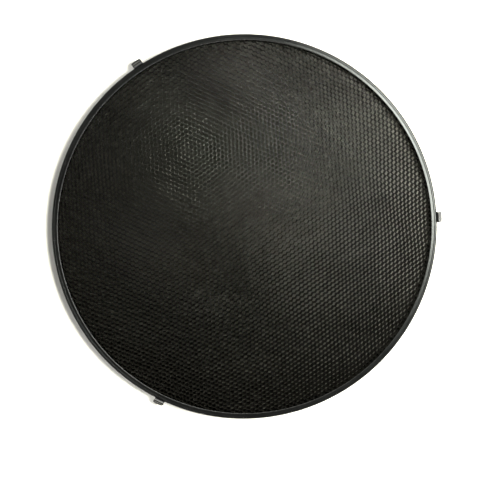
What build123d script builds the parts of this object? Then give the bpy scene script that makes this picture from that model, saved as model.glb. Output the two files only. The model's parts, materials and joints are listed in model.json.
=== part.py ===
from build123d import *
from math import ceil, degrees, radians, sqrt, tan
import os

# Honeycomb grid for a 70 cm beauty dish: a rolled channel ring round a bonded foil core, held on
# the dish's rolled rim by three sprung clips. Millimetres. The grid lies on its rear face: the
# origin is on the ring's axis at the rear face, +Z points out of the front, +X through clip 1.

# ring: one strip of aluminium sheet rolled to a U section, open towards the axis
RING_OUTER_R = 347.5
SHEET = 1.5
RING_DEPTH = 28.4
FLANGE_INNER_R = 337.0
BEND_R = 3.0
LIP_R = 0.45 * SHEET
GROOVE_R = 342.6
GROOVE_WIDTH = 1.6
GROOVE_DEEP = 0.5
SEAM_ANGLE = 180.0
SEAM_GAP = 0.3

# seam: a curved plate inside the channel, riveted to both ends of the strip
SPLICE_THICK = 1.2
SPLICE_HEIGHT = 18.0
SPLICE_LENGTH = 60.0
SPLICE_RIVET_PITCH = 40.0
SPLICE_RIVET_RISE = 9.0

# rivets
SHANK_R = 1.6
HOLE_R = 1.65
DRILL_REACH = 4.0
HEAD_R = 3.1
HEAD_THICK = 0.6
HEAD_ROUND = 0.4
TAIL_R = 2.5
TAIL_THICK = 0.8
FIT_GAP = 0.05
SEAT_GAP = 0.02

# core: corrugated foil ribbons, bonded flat to flat. Each ribbon here stands for three real ones
REAL_CELL = 8.0
CELL_SCALE = 3
REAL_FOIL = 0.08
CORE_R = 343.4
CORE_DEPTH = 25.2
RIBBONS_A_PACK = 3
PACKS = 19
GLUE_LINE = 0.06
RIBBON_ANGLE = 4.3

# clips: spring steel straps that stand on the ring's outer wall and arch over the dish's rim bead
CLIP_ANGLES = (0.0, 120.0, 240.0)
STRAP_THICK = 0.8
STRAP_WIDTH = 19.0
BEAD_CENTRE_R = 350.8
HINGE_Z = 26.4
ARCH_RISE = 0.4
FOOT_BOTTOM_Z = 6.5
CLIP_RIVET_Z = 12.0
CLIP_RIVET_PITCH = 10.0
HINGE_GAP = 0.3
OUTER_LEG_DROP = 1.6
DETENT_R = 352.3
DETENT_DROP = 4.2
LIP_END_R = 358.2
LIP_END_DROP = 8.2
DETENT_BEND_R = 1.6
BACKING_THICK = 1.0
BACKING_HEIGHT = 11.0
BACKING_LENGTH = 18.0

# sizes worked out from the ones above
WEB_INNER_R = RING_OUTER_R - SHEET
MID_Z = RING_DEPTH / 2
STRAP_MID_R = RING_OUTER_R + STRAP_THICK / 2
ARCH_MID_R = BEAD_CENTRE_R - STRAP_MID_R
CELL = REAL_CELL * CELL_SCALE
FOIL = REAL_FOIL * CELL_SCALE
FLAT = CELL / sqrt(3)
FLAT_PITCH = 1.5 * FLAT
RIBBON_PITCH = CELL / 2
WAVE_HEIGHT = RIBBON_PITCH - FOIL - GLUE_LINE


def ring_section():
    """The channel's U section, drawn in XZ, with round bends and round inner lips."""
    outline = Plane.XZ * Rectangle(
        RING_OUTER_R - FLANGE_INNER_R, RING_DEPTH, align=(Align.MAX, Align.MIN)
    )
    outline = Pos(RING_OUTER_R, 0, 0) * outline
    hollow = Plane.XZ * Rectangle(
        WEB_INNER_R - FLANGE_INNER_R + 1, RING_DEPTH - 2 * SHEET, align=(Align.MAX, Align.MIN)
    )
    hollow = Pos(WEB_INNER_R, 0, SHEET) * hollow
    section = outline - hollow
    outer = [v for v in section.vertices() if v.X > RING_OUTER_R - 0.1]
    section = fillet(outer, BEND_R)
    inner = [v for v in section.vertices() if abs(v.X - WEB_INNER_R) < 0.01]
    section = fillet(inner, BEND_R - SHEET)
    groove = Plane.XZ * Trapezoid(GROOVE_WIDTH, GROOVE_DEEP, 45, align=(Align.CENTER, Align.MIN))
    groove = Pos(GROOVE_R, 0, RING_DEPTH) * Rot(0, 180, 0) * groove
    section = section - groove
    lips = [v for v in section.vertices() if v.X < FLANGE_INNER_R + 0.1]
    return fillet(lips, LIP_R)


def radial_cylinder(angle, z, radius, start_r, end_r, along=0.0):
    """A cylinder that points outwards at an angle, moved sideways along the tangent."""
    pin = Cylinder(radius, end_r - start_r, align=(Align.CENTER, Align.CENTER, Align.MIN))
    return Rot(0, 0, angle) * Pos(start_r, along, z) * Rot(0, 90, 0) * pin


def splice_rivet_places():
    """Angle and height of the seam rivets: two each side of the seam."""
    step = degrees(SPLICE_RIVET_PITCH / 2 / RING_OUTER_R)
    return [
        (SEAM_ANGLE + side * step, MID_Z + rise * SPLICE_RIVET_RISE / 2)
        for side in (-1, 1)
        for rise in (-1, 1)
    ]


def clip_rivet_offsets():
    """Sideways places of a clip's two rivets."""
    return (-CLIP_RIVET_PITCH / 2, CLIP_RIVET_PITCH / 2)


def ring_channel():
    """The rolled ring, with its seam open and its rivet holes drilled."""
    turn = 360 - degrees(SEAM_GAP / RING_OUTER_R)
    start = SEAM_ANGLE + degrees(SEAM_GAP / RING_OUTER_R) / 2
    ring = Rot(0, 0, start) * revolve(ring_section(), Axis.Z, turn)
    for angle, z in splice_rivet_places():
        ring -= radial_cylinder(angle, z, HOLE_R, WEB_INNER_R - DRILL_REACH, RING_OUTER_R + DRILL_REACH)
    for angle in CLIP_ANGLES:
        for along in clip_rivet_offsets():
            hole = radial_cylinder(
                angle, CLIP_RIVET_Z, HOLE_R, WEB_INNER_R - DRILL_REACH, RING_OUTER_R + DRILL_REACH, along
            )
            ring -= hole
    return ring


def curved_plate(angle, z, outer_r, thick, height, length):
    """A plate bent to lie against the inside of the channel's web."""
    half = degrees(length / 2 / outer_r)
    section = Plane.XZ * Rectangle(thick, height, align=(Align.MAX, Align.CENTER))
    plate = revolve(Pos(outer_r, 0, z) * section, Axis.Z, 2 * half)
    return Rot(0, 0, angle - half) * plate


def splice_plate():
    """The plate that joins the two ends of the ring."""
    plate = curved_plate(
        SEAM_ANGLE, MID_Z, WEB_INNER_R - FIT_GAP, SPLICE_THICK, SPLICE_HEIGHT, SPLICE_LENGTH
    )
    for angle, z in splice_rivet_places():
        plate -= radial_cylinder(angle, z, HOLE_R, WEB_INNER_R - DRILL_REACH, RING_OUTER_R)
    return plate


def rivet(angle, z, head_seat_r, tail_seat_r, along=0.0):
    """A low dome headed rivet, headed outside and closed inside the channel."""
    shank = radial_cylinder(
        angle, z, SHANK_R, tail_seat_r - TAIL_THICK / 2, head_seat_r + HEAD_THICK / 2, along
    )
    head = radial_cylinder(angle, z, HEAD_R, head_seat_r, head_seat_r + HEAD_THICK, along)
    head = fillet(head.edges().filter_by(GeomType.CIRCLE).sort_by_distance((0, 0, z))[-1], HEAD_ROUND)
    tail = radial_cylinder(angle, z, TAIL_R, tail_seat_r - TAIL_THICK, tail_seat_r, along)
    return shank + head + tail


def seam_rivets():
    """The seam's four rivets."""
    tail_seat = WEB_INNER_R - FIT_GAP - SPLICE_THICK - SEAT_GAP
    head_seat = RING_OUTER_R + SEAT_GAP
    return [rivet(angle, z, head_seat, tail_seat) for angle, z in splice_rivet_places()]


def wave_corners(first_flat, last_flat):
    """Corners of a trapezoid wave about y = 0, with flats numbered along x, even ones high."""
    corners = []
    for n in range(first_flat, last_flat + 1):
        middle = n * FLAT_PITCH
        high = WAVE_HEIGHT / 2 if n % 2 == 0 else -WAVE_HEIGHT / 2
        corners.append((middle - FLAT / 2, high))
        corners.append((middle + FLAT / 2, high))
    return corners


def edge_of_foil(corners, side):
    """The wave's corners moved to one face of the foil; side is +1 above and -1 below."""
    mitre = FOIL / 2 * tan(radians(30))
    moved = []
    for i, (x, y) in enumerate(corners):
        leads = -1 if i % 2 == 0 else 1
        outwards = 1 if y > 0 else -1
        moved.append((x + leads * outwards * side * mitre, y + side * FOIL / 2))
    return moved


def cut_to(points, half_length):
    """A chain of points cut off square at both ends."""
    kept = [p for p in points if abs(p[0]) < half_length]
    before = [p for p in points if p[0] <= -half_length][-1]
    after = [p for p in points if p[0] >= half_length][0]

    def crossing(a, b, x):
        share = (x - a[0]) / (b[0] - a[0])
        return (x, a[1] + share * (b[1] - a[1]))

    first = kept[0] if kept else after
    last = kept[-1] if kept else before
    return [crossing(before, first, -half_length)] + kept + [crossing(last, after, half_length)]


def ribbon(row):
    """One corrugated ribbon, its ends cut to the core's circle."""
    y = row * RIBBON_PITCH
    reach = abs(y) + RIBBON_PITCH / 2
    half_length = sqrt(CORE_R**2 - reach**2)
    flats = ceil(half_length / FLAT_PITCH) + 2
    shift = (row % 2) * FLAT_PITCH
    corners = [(x + shift, height) for x, height in wave_corners(-flats - 2, flats)]
    above = cut_to(edge_of_foil(corners, 1), half_length)
    below = cut_to(edge_of_foil(corners, -1), half_length)
    outline = Polyline(*above, *reversed(below), close=True)
    strip = extrude(make_face(outline), CORE_DEPTH)
    return Rot(0, 0, RIBBON_ANGLE) * Pos(0, y, MID_Z - CORE_DEPTH / 2) * strip


def core_pack(index):
    """Three neighbouring ribbons of the core."""
    first = index * RIBBONS_A_PACK - PACKS * RIBBONS_A_PACK // 2
    return [ribbon(first + n) for n in range(RIBBONS_A_PACK)]


def strap(line, angle):
    """A strap of spring steel that follows a line of radius and height, at a clip's angle."""
    profile = trace(line, STRAP_THICK)
    return Rot(0, 0, angle) * Rot(90, 0, 0) * extrude(profile, STRAP_WIDTH / 2, both=True)


def clip_foot(angle):
    """The strap's lower leg, riveted to the ring's outer wall."""
    leg = Line((STRAP_MID_R, FOOT_BOTTOM_Z), (STRAP_MID_R, HINGE_Z - HINGE_GAP / 2))
    foot = strap(leg, angle)
    for along in clip_rivet_offsets():
        foot -= radial_cylinder(
            angle, CLIP_RIVET_Z, HOLE_R, WEB_INNER_R, RING_OUTER_R + DRILL_REACH, along
        )
    return foot


def clip_hook(angle):
    """The strap's arch over the rim bead, its detent under the bead and its flared finger lip."""
    outer_leg_r = BEAD_CENTRE_R + ARCH_MID_R
    bead_z = HINGE_Z + ARCH_RISE
    root = Line((STRAP_MID_R, HINGE_Z + HINGE_GAP / 2), (STRAP_MID_R, bead_z))
    arch = ThreePointArc(
        (STRAP_MID_R, bead_z), (BEAD_CENTRE_R, bead_z + ARCH_MID_R), (outer_leg_r, bead_z)
    )
    tail = FilletPolyline(
        (outer_leg_r, bead_z),
        (outer_leg_r, HINGE_Z - OUTER_LEG_DROP),
        (DETENT_R, HINGE_Z - DETENT_DROP),
        (LIP_END_R, HINGE_Z - LIP_END_DROP),
        radius=DETENT_BEND_R,
    )
    return strap(Curve() + [root, arch, tail], angle)


def clip_backing(angle):
    """The curved plate behind a clip's rivets, inside the channel."""
    plate = curved_plate(
        angle,
        CLIP_RIVET_Z,
        WEB_INNER_R - FIT_GAP,
        BACKING_THICK,
        BACKING_HEIGHT,
        BACKING_LENGTH,
    )
    for along in clip_rivet_offsets():
        plate -= radial_cylinder(
            angle, CLIP_RIVET_Z, HOLE_R, WEB_INNER_R - DRILL_REACH, RING_OUTER_R, along
        )
    return plate


def clip_rivets(angle):
    """A clip's two rivets. The tails reach past the plate's curve, so they seat a little deeper."""
    sagitta = WEB_INNER_R - sqrt(WEB_INNER_R**2 - (CLIP_RIVET_PITCH / 2 + TAIL_R) ** 2)
    tail_seat = WEB_INNER_R - FIT_GAP - BACKING_THICK - sagitta - SEAT_GAP
    head_seat = RING_OUTER_R + STRAP_THICK + SEAT_GAP
    return [
        rivet(angle, CLIP_RIVET_Z, head_seat, tail_seat, along) for along in clip_rivet_offsets()
    ]


def save(node, solids):
    """Writes one node, whether it is one solid or a group of separate ones."""
    shape = Compound(children=solids) if isinstance(solids, list) else solids
    export_step(shape, f"parts/{node}.step", write_pcurves=False)


os.makedirs("parts", exist_ok=True)
save("ring_channel", ring_channel())
save("seam_splice_plate", splice_plate())
save("seam_rivets", seam_rivets())
for pack in range(PACKS):
    save(f"core_ribbons_{pack + 1:02d}", core_pack(pack))
for number, clip_angle in enumerate(CLIP_ANGLES, start=1):
    save(f"clip_{number}_foot", clip_foot(clip_angle))
    save(f"clip_{number}_hook", clip_hook(clip_angle))
    save(f"clip_{number}_backing_plate", clip_backing(clip_angle))
    save(f"clip_{number}_rivets", clip_rivets(clip_angle))
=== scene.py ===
import bpy
import json
import numpy as np
from math import cos, hypot, pi, radians, sin, sqrt, tan
from mathutils import Matrix, Vector


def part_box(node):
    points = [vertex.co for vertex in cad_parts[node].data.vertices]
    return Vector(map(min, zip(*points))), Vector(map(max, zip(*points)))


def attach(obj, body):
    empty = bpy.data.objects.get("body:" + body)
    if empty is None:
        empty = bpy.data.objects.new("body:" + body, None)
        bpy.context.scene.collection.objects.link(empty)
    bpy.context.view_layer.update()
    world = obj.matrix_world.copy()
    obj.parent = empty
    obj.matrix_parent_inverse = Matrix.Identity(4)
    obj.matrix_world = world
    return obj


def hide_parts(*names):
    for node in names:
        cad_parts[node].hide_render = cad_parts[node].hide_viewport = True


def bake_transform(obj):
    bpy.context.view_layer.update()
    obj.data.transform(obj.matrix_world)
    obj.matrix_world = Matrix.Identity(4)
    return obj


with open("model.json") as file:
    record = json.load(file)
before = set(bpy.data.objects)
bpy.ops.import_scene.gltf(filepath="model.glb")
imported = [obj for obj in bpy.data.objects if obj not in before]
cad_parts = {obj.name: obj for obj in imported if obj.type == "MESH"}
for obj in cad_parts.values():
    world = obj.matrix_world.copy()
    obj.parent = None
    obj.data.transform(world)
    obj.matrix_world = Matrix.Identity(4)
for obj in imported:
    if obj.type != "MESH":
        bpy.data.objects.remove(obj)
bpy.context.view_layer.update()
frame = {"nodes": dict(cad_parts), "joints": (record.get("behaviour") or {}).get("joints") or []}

# Sizes are in metres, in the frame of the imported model: the grid lies on its rear face, front up.

# Ring: one strip of sheet, rolled to a channel, with a groove along its front flange.
RING_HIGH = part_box("ring_channel")[1]
RING_R = RING_HIGH.x
RING_DEPTH = RING_HIGH.z
SHEET = 0.0015
FLANGE_WIDTH = 0.0105
BEND_R = 0.0030
GROOVE_INSET = 0.0049
GROOVE_WIDTH = 0.0016
GROOVE_DEEP = 0.0005
SEAM_ANGLE = pi
SEAM_GAP = 0.0003
RING_STEPS = 1080
RUN_MARGIN = 0.00012
LONG_RUN = 8 * RUN_MARGIN
# Inset of the lighter band on the lip edges from the lip's centre: worn metal, and also a painted
# highlight along the inner lip.
LIP_WEAR_AND_HIGHLIGHT_INSET = 0.0003

# Core: corrugated foil ribbons, bonded flat to flat, a little over-expanded. Its rows lean: each is
# moved along itself by a share of its distance from the middle row.
CORE_PACKS = 19
PACK_WIDTH = 0.036
CORE_LOW, CORE_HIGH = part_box("core_ribbons_10")
CORE_INSET = 0.0041
CORE_R = RING_R - CORE_INSET
FLAT_PITCH = 0.00693
FLAT = 0.00452
RIBBON_PITCH = 0.00413
FOIL = 0.00011
GLUE_LINE = 0.00002
CORNER = 0.00038
CORNER_REACH = 0.8
CORNER_FALL = 1.5
LEAN = 0.0725
RIBBON_ANGLE = radians(4.3)
JITTER_SIZE = 0.00014
TONE_RANGE = (0.15, 0.85)

# Clips: one strap each, from the ring's outer wall over the rim bead to the finger lip. The detent
# and the lip's end are measured from the hinge, outward and up.
STRAP_THICK = 0.0008
STRAP_WIDTH = 0.019
ARCH_R = 0.0029
ARCH_RISE = 0.0004
LEG_DROP = 0.0016
DETENT = (0.0044, -0.0042)
LIP_END = (0.0103, -0.0082)
DETENT_BEND_R = 0.0016
CORNER_R = 0.0030
STRAP_STEP = 0.0008
RISE_STEPS = 12
ARCH_STEPS = 28
STRAP_ACROSS = (-1, -0.985, -0.9, -0.6, -0.3, 0, 0.3, 0.6, 0.9, 0.985, 1)

# Camera: over a point beside the grid's centre, looking at a point near that centre.
CAMERA_DISTANCE = 2.1
CAMERA_LATERAL = (-0.095, 0.145)
CAMERA_AIM = (-0.0116, -0.0194)
CAMERA_ROLL = radians(3.32)
LENS_MM = 87.52
SENSOR_MM = 36
VIEW_DEPTH = 50

# Softboxes: place, size and radiance. Each faces a point part of the way out to it, near the floor.
SOFTBOXES = {
    "key": ((0.74, 0.26, 2.0), (0.64, 0.54), 76.0),
    "overhead": ((0.10, 0.12, 2.0), (1.00, 0.90), 0.45),
    "key_lower": ((0.87, -0.13, 2.0), (0.60, 0.24), 74.0),
}
LAMP_AIM_SHARE = 0.3
LAMP_AIM_HEIGHT = 0.03
LAMP_COLOUR = (1.0, 0.995, 0.88)

# Room: two ramps over the direction of view, each as its low and high ends and the values there.
WALL_BY_HEIGHT = (0.50, 0.74, 1.0, 0.0)
WALL_BY_SIDE = (-0.2, 0.95, 0.9, 9.0)
WHITE = (1, 1, 1, 1)
FLOOR_HALF = 12.0


# ---------------------------------------------------------------- camera, lights and floor


def pointed(place, back, side, upward):
    """The transform of a camera or lamp at a place, from its own three axes."""
    turn = Matrix((side, upward, back)).transposed().to_4x4()
    return Matrix.Translation(place) @ turn


def add_camera():
    """Above the grid, a few degrees off its axis, turned so that clip 1 is on the right."""
    data = bpy.data.cameras.new("camera")
    data.lens = LENS_MM
    data.sensor_width = SENSOR_MM
    data.clip_end = VIEW_DEPTH
    camera = bpy.data.objects.new("camera", data)
    bpy.context.scene.collection.objects.link(camera)
    height = sqrt(CAMERA_DISTANCE**2 - CAMERA_LATERAL[0] ** 2 - CAMERA_LATERAL[1] ** 2)
    place = Vector((*CAMERA_LATERAL, RING_DEPTH + height))
    back = (place - Vector((*CAMERA_AIM, RING_DEPTH))).normalized()
    side = Vector((sin(CAMERA_ROLL), cos(CAMERA_ROLL), 0)).cross(back).normalized()
    camera.matrix_world = pointed(place, back, side, back.cross(side))
    bpy.context.scene.camera = camera


def add_softbox(name, place, size, radiance):
    """A rectangular soft light with one side along x."""
    data = bpy.data.lights.new(name, "AREA")
    data.shape = "RECTANGLE"
    data.size, data.size_y = size
    data.energy = radiance * pi * size[0] * size[1]
    data.color = LAMP_COLOUR
    light = bpy.data.objects.new(name, data)
    bpy.context.scene.collection.objects.link(light)
    target = Vector((LAMP_AIM_SHARE * place[0], LAMP_AIM_SHARE * place[1], LAMP_AIM_HEIGHT))
    back = (Vector(place) - target).normalized()
    side = Vector((1, 0, 0))
    side = (side - back * side.dot(back)).normalized()
    light.matrix_world = pointed(place, back, side, back.cross(side))


def set_span(node, low, high, to_low, to_high):
    """Sets a Map Range node to take one range of values to another."""
    node.inputs["From Min"].default_value = low
    node.inputs["From Max"].default_value = high
    node.inputs["To Min"].default_value = to_low
    node.inputs["To Max"].default_value = to_high


def add_world():
    """A white studio wall all round, brighter on clip 1's side, under a dark ceiling."""
    world = bpy.data.worlds.new("room")
    world.use_nodes = True
    nodes, links = world.node_tree.nodes, world.node_tree.links
    split = nodes.new("ShaderNodeSeparateXYZ")
    links.new(nodes.new("ShaderNodeTexCoord").outputs["Generated"], split.inputs[0])
    glow = nodes.new("ShaderNodeMath")
    glow.operation = "MULTIPLY"
    for socket, axis, ramp in zip(glow.inputs, "ZX", (WALL_BY_HEIGHT, WALL_BY_SIDE)):
        node = nodes.new("ShaderNodeMapRange")
        set_span(node, *ramp)
        links.new(split.outputs[axis], node.inputs["Value"])
        links.new(node.outputs["Result"], socket)
    background = nodes["Background"]
    background.inputs["Color"].default_value = WHITE
    links.new(glow.outputs[0], background.inputs["Strength"])
    bpy.context.scene.world = world


def add_floor():
    """A large pale floor."""
    corners = [(x * FLOOR_HALF, y * FLOOR_HALF, 0) for x, y in ((-1, -1), (1, -1), (1, 1), (-1, 1))]
    mesh = bpy.data.meshes.new("floor")
    mesh.from_pydata(corners, [], [(0, 1, 2, 3)])
    floor = bpy.data.objects.new("floor", mesh)
    bpy.context.scene.collection.objects.link(floor)
    mesh.materials.append(floor_material())


# ---------------------------------------------------------------- materials


class Shader:
    """A Principled material, with short calls for the nodes that it is made of."""

    def __init__(self, name):
        self.material = bpy.data.materials.new(name)
        self.material.use_nodes = True
        tree = self.material.node_tree
        self.nodes, self.links = tree.nodes, tree.links
        self.bsdf = self.nodes["Principled BSDF"]
        self.place = self.nodes.new("ShaderNodeTexCoord").outputs["Object"]

    def new(self, kind, **settings):
        """A node, with its settings."""
        node = self.nodes.new(kind)
        for key, value in settings.items():
            setattr(node, key, value)
        return node

    def feed(self, socket, value):
        """Gives a socket a number, a colour or another node's output."""
        if isinstance(value, (int, float)):
            socket.default_value = value
        elif isinstance(value, tuple):
            socket.default_value = (*value, 1)
        else:
            self.links.new(value, socket)

    def stretched(self, scale):
        """Object coordinates multiplied by a vector."""
        node = self.new("ShaderNodeVectorMath", operation="MULTIPLY")
        self.links.new(self.place, node.inputs[0])
        node.inputs[1].default_value = scale
        return node.outputs[0]

    def noise(self, scale, detail=3.0, rough=0.5, coords=None):
        """Noise from 0 to 1, mostly near 0.5."""
        node = self.new("ShaderNodeTexNoise")
        self.feed(node.inputs["Vector"], coords or self.place)
        self.feed(node.inputs["Scale"], scale)
        self.feed(node.inputs["Detail"], detail)
        self.feed(node.inputs["Roughness"], rough)
        return node.outputs["Fac"]

    def span(self, value, low, high, to_low=0.0, to_high=1.0):
        """Takes one range of values to another, clamped."""
        node = self.new("ShaderNodeMapRange")
        self.links.new(value, node.inputs["Value"])
        set_span(node, low, high, to_low, to_high)
        return node.outputs["Result"]

    def cloud(self, scale, detail=4.0):
        """Soft patches, from 0 to 1."""
        return self.span(self.noise(scale, detail), 0.35, 0.65)

    def maths(self, operation, first, second=0.0):
        """A sum, product or other result of two numbers or outputs."""
        node = self.new("ShaderNodeMath", operation=operation)
        self.feed(node.inputs[0], first)
        self.feed(node.inputs[1], second)
        return node.outputs[0]

    def mix(self, factor, first, second):
        """Mixes two colours, through the colour sockets of a Mix node."""
        node = self.new("ShaderNodeMix", data_type="RGBA")
        self.links.new(factor, node.inputs["Factor"])
        self.feed(node.inputs[6], first)
        self.feed(node.inputs[7], second)
        return node.outputs[2]

    def bump(self, height, distance, strength, below=None):
        """A bumped normal, on top of another where one is given."""
        node = self.new("ShaderNodeBump")
        self.links.new(height, node.inputs["Height"])
        node.inputs["Distance"].default_value = distance
        node.inputs["Strength"].default_value = strength
        if below:
            self.links.new(below, node.inputs["Normal"])
        return node.outputs["Normal"]

    def gloss(self, level, tint=None):
        """The strength and tint of the reflection, the same all over the surface."""
        self.feed(self.bsdf.inputs["Specular IOR Level"], level)
        if tint:
            self.feed(self.bsdf.inputs["Specular Tint"], tint)

    def finish(self, colour, roughness, normal):
        """Connects the three outputs that every material here has."""
        self.links.new(colour, self.bsdf.inputs["Base Color"])
        self.links.new(roughness, self.bsdf.inputs["Roughness"])
        self.links.new(normal, self.bsdf.inputs["Normal"])
        return self.material


def floor_material():
    """Pale matt board with a faint mottle."""
    board = Shader("pale_floor")
    mottle = board.span(board.noise(3.0), 0.3, 0.7)
    colour = board.mix(mottle, (0.86, 0.85, 0.79), (0.90, 0.89, 0.83))
    rough = board.span(board.noise(40.0), 0.3, 0.7, 0.55, 0.7)
    return board.finish(colour, rough, board.bump(board.noise(400.0), 0.0002, 0.2))


def foil_material():
    """Black coated foil: semi-gloss, faintly crinkled, each ribbon its own tone, cut edges rubbed."""
    foil = Shader("black_foil")
    foil.gloss(0.13, (1.0, 0.96, 0.84))
    tone = foil.new("ShaderNodeAttribute", attribute_name="tone").outputs["Fac"]
    shade = foil.maths("MULTIPLY", foil.maths("ADD", tone, foil.cloud(55.0)), 0.5)
    coat = foil.mix(shade, (0.0040, 0.0037, 0.0029), (0.0105, 0.0096, 0.0076))
    split = foil.new("ShaderNodeSeparateXYZ")
    foil.feed(split.inputs[0], foil.new("ShaderNodeNewGeometry").outputs["True Normal"])
    cut = foil.span(foil.maths("ABSOLUTE", split.outputs["Z"]), 0.7, 0.9)
    marked_edges = foil.maths("MULTIPLY", cut, foil.span(foil.noise(900.0), 0.45, 0.7, 0.25, 1.0))
    colour = foil.mix(marked_edges, coat, (0.009, 0.0086, 0.0075))
    rough = foil.span(foil.noise(700.0, 4.0), 0.3, 0.7, 0.42, 0.60)
    crinkle = foil.noise(420.0, 3.0, 0.6)
    return foil.finish(colour, rough, foil.bump(crinkle, 0.00012, 0.6))


def powder_coat_material():
    """Satin black powder coat: orange peel, fine scuffs, dust, and a lighter band on the channel's
    lip edges, partly worn uncoated metal and partly a painted highlight.
    """
    paint = Shader("black_powder_coat")
    paint.gloss(0.16, (0.92, 0.97, 1.0))
    cloud = paint.cloud(18.0)
    coat = paint.mix(cloud, (0.0022, 0.0022, 0.0022), (0.0038, 0.0038, 0.0037))
    dust = paint.span(paint.noise(140.0, 8.0, 0.7), 0.58, 0.75, 0, 0.2)
    dusty = paint.mix(dust, coat, (0.014, 0.0135, 0.0125))
    # Lighter band on the lip edges: partly worn uncoated metal, partly a painted highlight line along
    # the inner lip.
    lip_wear_and_highlight_mask = paint.new("ShaderNodeAttribute", attribute_name="lip_wear_and_highlight").outputs["Fac"]
    chips_and_highlight_noise = paint.span(paint.noise(500.0, 5.0), 0.45, 0.62, 0.35, 1.0)
    uncoated_and_highlight = paint.maths("MULTIPLY", lip_wear_and_highlight_mask, chips_and_highlight_noise)
    colour = paint.mix(uncoated_and_highlight, dusty, (0.12, 0.12, 0.118))
    paint.feed(paint.bsdf.inputs["Metallic"], paint.maths("MULTIPLY", uncoated_and_highlight, 0.4))
    scuff = paint.noise(260.0, 6.0, 0.65)
    scuffed = paint.maths("MULTIPLY", scuff, 0.7)
    clouded = paint.maths("MULTIPLY", cloud, 0.3)
    rough = paint.span(paint.maths("ADD", scuffed, clouded), 0.3, 0.7, 0.17, 0.25)
    peel = paint.bump(paint.noise(1300.0, 2.0), 0.00006, 0.55)
    return paint.finish(colour, rough, paint.bump(scuff, 0.00003, 0.3, peel))


def spring_steel_material():
    """Blackened spring steel with grinding lines and rubbed edges."""
    steel = Shader("blackened_steel")
    steel.gloss(0.45)
    lines = steel.noise(1.0, 3.0, 0.6, steel.stretched((900.0, 900.0, 9000.0)))
    coat = steel.mix(steel.cloud(220.0), (0.0025, 0.0025, 0.0027), (0.0055, 0.0055, 0.0058))
    edges = steel.span(steel.new("ShaderNodeNewGeometry").outputs["Pointiness"], 0.52, 0.58)
    rub = steel.span(steel.noise(900.0, 5.0), 0.45, 0.65, 0.0, 0.7)
    colour = steel.mix(steel.maths("MULTIPLY", edges, rub), coat, (0.14, 0.14, 0.135))
    rough = steel.span(lines, 0.3, 0.7, 0.20, 0.36)
    return steel.finish(colour, rough, steel.bump(lines, 0.00002, 0.4))


def rivet_material():
    """Black anodised rivet, rubbed in small patches."""
    rivet = Shader("black_rivet")
    coat = rivet.mix(rivet.cloud(600.0), (0.016, 0.016, 0.017), (0.035, 0.035, 0.036))
    rub = rivet.span(rivet.noise(1500.0, 5.0), 0.55, 0.7, 0, 0.8)
    colour = rivet.mix(rub, coat, (0.16, 0.16, 0.155))
    grain = rivet.noise(2500.0)
    rough = rivet.span(grain, 0.3, 0.7, 0.28, 0.45)
    return rivet.finish(colour, rough, rivet.bump(grain, 0.00003, 0.4))


def mill_aluminium_material():
    """Bare aluminium sheet with rolling lines."""
    sheet = Shader("mill_aluminium")
    sheet.feed(sheet.bsdf.inputs["Metallic"], 1.0)
    lines = sheet.noise(1.0, 3.0, 0.6, sheet.stretched((300.0, 300.0, 6000.0)))
    colour = sheet.mix(sheet.span(lines, 0.3, 0.7), (0.48, 0.48, 0.48), (0.62, 0.62, 0.61))
    rough = sheet.span(sheet.noise(300.0, 4.0), 0.3, 0.7, 0.35, 0.5)
    return sheet.finish(colour, rough, sheet.bump(lines, 0.00002, 0.3))


# ---------------------------------------------------------------- mesh helpers


def add_piece(name, vertices, faces, material, sharp):
    """A mesh object made of points and faces, smooth except over edges sharper than an angle."""
    mesh = bpy.data.meshes.new(name)
    mesh.from_pydata([tuple(v) for v in vertices], [], faces)
    mesh.validate()
    mesh.shade_smooth()
    mesh.set_sharp_from_angle(angle=radians(sharp))
    mesh.materials.append(material)
    piece = bpy.data.objects.new(name, mesh)
    bpy.context.scene.collection.objects.link(piece)
    return piece


def add_point_values(piece, name, values):
    """Stores one number a point on a piece, for its material to read."""
    attribute = piece.data.attributes.new(name, "FLOAT", "POINT")
    attribute.data.foreach_set("value", np.array(values, dtype=np.float32))


def arc(centre, radius, start, end, steps):
    """Points on an arc, angles in degrees."""
    turns = [radians(start + (end - start) * i / steps) for i in range(steps + 1)]
    return [(centre[0] + radius * cos(a), centre[1] + radius * sin(a)) for a in turns]


# ---------------------------------------------------------------- honeycomb core


def smooth_field(seed, waves, shortest, longest, size):
    """A gentle random field: a sum of a few plane waves, given as a function of x and y."""
    random = np.random.default_rng(seed)
    angles = random.uniform(0, 2 * pi, waves)
    numbers = 2 * pi / random.uniform(shortest, longest, waves)
    phases = random.uniform(0, 2 * pi, waves)
    share = size / sqrt(waves / 2)

    def field(x, y):
        total = np.zeros_like(x)
        for angle, number, phase in zip(angles, numbers, phases):
            total += np.sin(number * (x * cos(angle) + y * sin(angle)) + phase)
        return total * share

    return field


# Each bond between two ribbons has its own small random shift, which both ribbons share. It is looked
# up by place along the row, round and round a list that is longer than any row.
SWAY_X = smooth_field(seed=11, waves=7, shortest=0.09, longest=0.35, size=0.0011)
SWAY_Y = smooth_field(seed=12, waves=7, shortest=0.08, longest=0.30, size=0.0007)
ROWS = int(CORE_R / RIBBON_PITCH)
REACH = int(CORE_R / FLAT_PITCH) + 2
SPARE = 10
FLATS = REACH + SPARE
JITTER = np.random.default_rng(seed=5).normal(0, JITTER_SIZE, (2 * ROWS + 3, 2 * FLATS + 2, 2))


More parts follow.
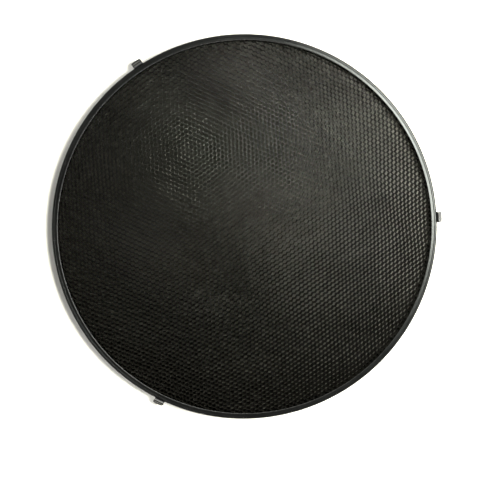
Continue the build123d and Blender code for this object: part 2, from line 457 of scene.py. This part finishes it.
def ribbon_line(row):
    """The bent line of one foil ribbon before it is cut to the circle, as an array of x, y."""
    wave = RIBBON_PITCH / 2 - (FOIL + GLUE_LINE) / 2
    drift = int(round(-row * RIBBON_PITCH * LEAN / FLAT_PITCH / 2)) * 2
    points = []
    for n in range(drift - REACH, drift + REACH):
        high = 1 if (n + row) % 2 == 0 else -1
        bond = row + ROWS + (1 if high > 0 else 0)
        shake = JITTER[bond, n % (2 * FLATS)]
        x = n * FLAT_PITCH + row * RIBBON_PITCH * LEAN + shake[0]
        y = row * RIBBON_PITCH + high * wave + shake[1]
        fall = -high * CORNER * CORNER_FALL
        points += [
            (x - FLAT / 2 - CORNER * CORNER_REACH, y + fall),
            (x - FLAT / 2 + CORNER, y),
            (x + FLAT / 2 - CORNER, y),
            (x + FLAT / 2 + CORNER * CORNER_REACH, y + fall),
        ]
    line = np.array(points)
    x, y = line[:, 0].copy(), line[:, 1].copy()
    line[:, 0] += SWAY_X(x, y)
    line[:, 1] += SWAY_Y(x, y)
    cosine, sine = cos(RIBBON_ANGLE), sin(RIBBON_ANGLE)
    return line @ np.array(((cosine, sine), (-sine, cosine)))


def cut_to_circle(line):
    """The stretch of a line inside the core's circle, with its ends on the circle, or None."""
    inside = np.nonzero(np.hypot(line[:, 0], line[:, 1]) < CORE_R)[0]
    if len(inside) < 4 or inside[0] == 0 or inside[-1] == len(line) - 1:
        return None

    def crossing(a, b):
        """Where the step from inside point a to outside point b meets the circle."""
        d = b - a
        aa, ab, cc = d @ d, a @ d, a @ a - CORE_R**2
        return a + d * ((-ab + sqrt(ab * ab - aa * cc)) / aa)

    first, last = inside[0], inside[-1]
    start = crossing(line[first], line[first - 1])
    end = crossing(line[last], line[last + 1])
    return np.vstack([start, line[first:last + 1], end])


def foil_strip(line, low, high):
    """Points and faces of a strip of foil stood on edge along a line: a closed solid."""
    step = np.diff(line, axis=0)
    step /= np.maximum(np.linalg.norm(step, axis=1, keepdims=True), 1e-9)
    normal = np.stack([-step[:, 1], step[:, 0]], axis=1)
    mitre = np.vstack([normal[:1], normal[:-1] + normal[1:], normal[-1:]])
    length = np.linalg.norm(mitre, axis=1, keepdims=True)
    mitre = mitre / length
    mitre[1:-1] /= length[1:-1] / 2
    left, right = line + mitre * FOIL / 2, line - mitre * FOIL / 2
    count = len(line)
    points = np.empty((count, 4, 3))
    for k, (side, z) in enumerate(((left, low), (left, high), (right, high), (right, low))):
        points[:, k, :2] = side
        points[:, k, 2] = z
    quads = []
    for k in range(4):
        a = np.arange(count - 1) * 4 + k
        b = np.arange(count - 1) * 4 + (k + 1) % 4
        quads.append(np.stack([a, b, b + 4, a + 4], axis=1))
    quads = np.vstack(quads + [[[3, 2, 1, 0]], [[count * 4 - 4 + k for k in range(4)]]])
    return points.reshape(-1, 3), quads


def add_core():
    """The bonded foil ribbons, in pieces that match the packs of ribbons in the frame."""
    foil = foil_material()
    packs = [[] for _ in range(CORE_PACKS)]
    for row in range(-ROWS, ROWS + 1):
        line = cut_to_circle(ribbon_line(row))
        if line is None:
            continue
        pack = int((row * RIBBON_PITCH + CORE_PACKS * PACK_WIDTH / 2) / PACK_WIDTH)
        packs[min(max(pack, 0), CORE_PACKS - 1)].append(line)
    tones = iter(np.random.default_rng(seed=3).uniform(*TONE_RANGE, 2 * ROWS + 1))
    for index, lines in enumerate(packs, start=1):
        vertices, faces, shade, offset = [], [], [], 0
        for line in lines:
            points, quads = foil_strip(line, CORE_LOW.z, CORE_HIGH.z)
            vertices.append(points)
            faces.append(quads + offset)
            shade += [next(tones)] * len(points)
            offset += len(points)
        vertices, faces = np.vstack(vertices).tolist(), np.vstack(faces).tolist()
        piece = add_piece(f"core_foil_{index:02d}", vertices, faces, foil, sharp=40)
        add_point_values(piece, "tone", shade)
        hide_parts(f"core_ribbons_{index:02d}")
        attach(piece, "grid")


# ---------------------------------------------------------------- channel ring


def ring_section():
    """The channel's closed outline as (radius, height), anticlockwise from the rear lip."""
    lip = SHEET / 2
    lip_r = RING_R - FLANGE_WIDTH + lip
    inner_bend = BEND_R - SHEET
    inner_r = RING_R - SHEET - inner_bend
    top = RING_DEPTH
    groove = RING_R - GROOVE_INSET
    half = GROOVE_WIDTH / 2
    ease = GROOVE_DEEP / 2
    outline = arc((lip_r, lip), lip, 90, 270, 8)
    outline += arc((RING_R - BEND_R, BEND_R), BEND_R, 270, 360, 8)
    outline += arc((RING_R - BEND_R, top - BEND_R), BEND_R, 0, 90, 8)
    outline += arc((groove + half, top - ease), ease, 90, 180, 3)
    outline += arc((groove, top - ease), half - ease, 360, 180, 6)
    outline += arc((groove - half, top - ease), ease, 0, 90, 3)
    outline += arc((lip_r, top - lip), lip, 90, 270, 8)
    outline += arc((inner_r, top - SHEET - inner_bend), inner_bend, 90, 0, 4)
    outline += arc((inner_r, SHEET + inner_bend), inner_bend, 0, -90, 4)
    return outline


def held_flat(outline):
    """The closed outline with a point added near both ends of each long run, to keep it flat."""
    out = []
    for a, b in zip(outline, outline[1:] + outline[:1]):
        out.append(a)
        length = hypot(b[0] - a[0], b[1] - a[1])
        if length > LONG_RUN:
            for share in (RUN_MARGIN / length, 1 - RUN_MARGIN / length):
                out.append((a[0] + (b[0] - a[0]) * share, a[1] + (b[1] - a[1]) * share))
    return out


def add_ring():
    """The rolled channel, with the seam where the strip's ends meet."""
    section = held_flat(ring_section())
    count = len(section)
    gap = SEAM_GAP / RING_R
    vertices, faces = [], []
    for i in range(RING_STEPS + 1):
        angle = SEAM_ANGLE + gap / 2 + (2 * pi - gap) * i / RING_STEPS
        vertices += [(r * cos(angle), r * sin(angle), z) for r, z in section]
    for i in range(RING_STEPS):
        for k in range(count):
            a, b = i * count + k, i * count + (k + 1) % count
            faces.append((a + count, b + count, b, a))
    first_end = range(count)
    last_end = range(RING_STEPS * count, (RING_STEPS + 1) * count)
    faces += [tuple(first_end), tuple(reversed(last_end))]
    ring = add_piece("ring", vertices, faces, powder_coat_material(), sharp=50)
    # Points on the inner side of each lip carry the lighter band: worn metal and a painted highlight.
    lip_wear_and_highlight_r = RING_R - FLANGE_WIDTH + SHEET / 2 - LIP_WEAR_AND_HIGHLIGHT_INSET
    marked_edges = [float(r < lip_wear_and_highlight_r) for r, _ in section]
    add_point_values(ring, "lip_wear_and_highlight", marked_edges * (RING_STEPS + 1))
    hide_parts("ring_channel")
    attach(ring, "grid")


# ---------------------------------------------------------------- clips


def rounded_path(points, radius, steps=8):
    """A line through points with round bends at all but its ends, as a list of vectors."""
    path = [Vector(points[0])]
    for before, corner, after in zip(points, points[1:], points[2:]):
        a, c, b = Vector(before), Vector(corner), Vector(after)
        u, v = (a - c).normalized(), (b - c).normalized()
        half = u.angle(v) / 2
        reach = radius / tan(half)
        centre = c + (u + v).normalized() * (radius / sin(half))
        start, end = c + u * reach - centre, c + v * reach - centre
        sweep = start.angle_signed(end)
        for i in range(steps + 1):
            path.append(centre + Matrix.Rotation(-sweep * i / steps, 2) @ start)
    path.append(Vector(points[-1]))
    return path


def strap_line(foot_z, root_z):
    """The strap's middle line, as (distance out from the hinge, height), foot first."""
    rise = [(0.0, foot_z + (root_z - foot_z) * i / RISE_STEPS) for i in range(RISE_STEPS)]
    over = arc((ARCH_R, root_z + ARCH_RISE), ARCH_R, 180, 0, ARCH_STEPS)
    tail = rounded_path(
        [
            (2 * ARCH_R, root_z + ARCH_RISE),
            (2 * ARCH_R, root_z - LEG_DROP),
            (DETENT[0], root_z + DETENT[1]),
            (LIP_END[0], root_z + LIP_END[1]),
        ],
        DETENT_BEND_R,
    )
    return [Vector(p) for p in rise + over] + tail[1:]


def even_steps(line, step):
    """The same line with its long runs divided."""
    out = [line[0]]
    for a, b in zip(line, line[1:]):
        parts = max(1, int((b - a).length / step))
        out += [a.lerp(b, (i + 1) / parts) for i in range(parts)]
    return out


def strap_inset(from_end):
    """How far the strap's edge is drawn in, at a distance from an end with round corners."""
    if from_end >= CORNER_R:
        return 0.0
    return CORNER_R - sqrt(max(CORNER_R**2 - (CORNER_R - from_end) ** 2, 0))


def strap_points(line, root_r, angle):
    """Points in rows across the strap, two rows for each point of its line: top and bottom."""
    run = [0.0]
    for a, b in zip(line, line[1:]):
        run.append(run[-1] + (b - a).length)
    vertices = []
    for i, point in enumerate(line):
        ahead = line[min(i + 1, len(line) - 1)] - line[max(i - 1, 0)]
        normal = Vector((-ahead.y, ahead.x)).normalized()
        half = STRAP_WIDTH / 2 - strap_inset(min(run[i], run[-1] - run[i]))
        for side in (1, -1):
            p = point + normal * side * STRAP_THICK / 2
            r = root_r + p.x
            for t in [share * half for share in STRAP_ACROSS]:
                x = r * cos(angle) - t * sin(angle)
                y = r * sin(angle) + t * cos(angle)
                vertices.append((x, y, p.y))
    return vertices


def strap_faces(line_count):
    """Faces between the strap's rows: its two sides, its two long edges and its two ends."""
    width = len(STRAP_ACROSS)
    rows = [[i * width + k for k in range(width)] for i in range(2 * line_count)]
    faces = []
    for i in range(line_count - 1):
        top, bottom, next_top, next_bottom = rows[2 * i:2 * i + 4]
        for k in range(width - 1):
            faces.append((top[k], top[k + 1], next_top[k + 1], next_top[k]))
            faces.append((bottom[k + 1], bottom[k], next_bottom[k], next_bottom[k + 1]))
        faces.append((top[0], next_top[0], next_bottom[0], bottom[0]))
        faces.append((top[-1], bottom[-1], next_bottom[-1], next_top[-1]))
    for top, bottom, order in ((rows[0], rows[1], 1), (rows[-2], rows[-1], -1)):
        for k in range(width - 1):
            faces.append((top[k], bottom[k], bottom[k + 1], top[k + 1])[::order])
    return faces


def add_strap(number, joint, steel):
    """One clip: a bent strap with round corners."""
    hinge = Vector(joint["pos_m"])
    angle = np.arctan2(hinge.y, hinge.x)
    root_r, root_z = hypot(hinge.x, hinge.y), hinge.z
    foot_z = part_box(f"clip_{number}_foot")[0].z
    line = even_steps(strap_line(foot_z, root_z), STRAP_STEP)
    vertices, faces = strap_points(line, root_r, angle), strap_faces(len(line))
    strap = add_piece(f"clip_{number}_strap", vertices, faces, steel, sharp=30)
    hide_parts(f"clip_{number}_foot", f"clip_{number}_hook")
    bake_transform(strap)


def repaint(node, material):
    """Gives a carried-over node a finished material."""
    slots = frame["nodes"][node].data.materials
    slots.clear()
    slots.append(material)


# ---------------------------------------------------------------- the scene

add_camera()
add_world()
add_floor()
for name, (place, size, radiance) in SOFTBOXES.items():
    add_softbox(name, place, size, radiance)
bpy.context.scene.view_settings.view_transform = "Standard"

add_core()
add_ring()
STEEL = spring_steel_material()
RIVET = rivet_material()
BARE = mill_aluminium_material()
for number, joint in enumerate(frame["joints"], start=1):
    add_strap(number, joint, STEEL)
    repaint(f"clip_{number}_rivets", RIVET)
    repaint(f"clip_{number}_backing_plate", BARE)
repaint("seam_rivets", RIVET)
repaint("seam_splice_plate", BARE)
